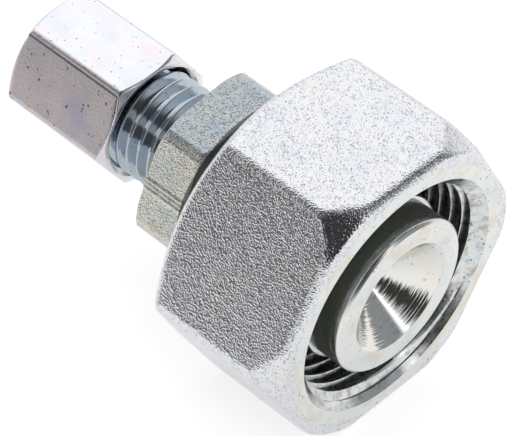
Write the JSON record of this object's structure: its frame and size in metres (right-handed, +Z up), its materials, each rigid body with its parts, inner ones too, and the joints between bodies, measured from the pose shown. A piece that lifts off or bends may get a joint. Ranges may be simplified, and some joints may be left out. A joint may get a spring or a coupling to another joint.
{
  "type": "reducer insert",
  "caption": "Straight pipe reducer with a countersunk tube end inside a large union nut, a forged hexagon, and a threaded stud with a small union nut.",
  "frame": {"origin": "centre of the tube end's face, on the pipe axis", "axes": "+X along the pipe axis, out of the large nut's mouth; +Z up, away from the large nut flat that the part lies on; +Y to the left of +X"},
  "size_m": [0.0493, 0.0364, 0.032],
  "materials": {
    "body": "zinc plated steel, satin, forged grain on the hexagon, turned elsewhere",
    "large_nut": "zinc plated steel, satin with a forged grain",
    "small_nut": "zinc plated steel, smooth satin",
    "rings": "zinc plated steel, bright turned"
  },
  "bodies": {
    "body": {"reducer_body": "body", "large_cutting_ring": "rings"},
    "large_nut": {"large_union_nut": "large_nut"},
    "small_ring": {"small_cutting_ring": "rings"},
    "small_nut": {"small_union_nut": "small_nut"}
  },
  "joints": [
    {"name": "large_nut_spin", "type": "hinge", "parent": "body", "child": "large_nut", "pos_m": [-0.0163, 0, 0], "axis": [1, 0, 0], "continuous": true},
    {"name": "small_nut_travel", "type": "slide", "parent": "body", "child": "small_ring", "axis": [-1, 0, 0], "range_m": [0, 0.003]},
    {"name": "small_nut_unscrew", "type": "hinge", "parent": "small_ring", "child": "small_nut", "pos_m": [-0.042, 0, 0], "axis": [-1, 0, 0], "range_deg": [0, 720]}
  ],
  "couplings": [
    {"joint": "small_nut_travel", "follows": "small_nut_unscrew", "m_per_rad": 0.00023873}
  ]
}
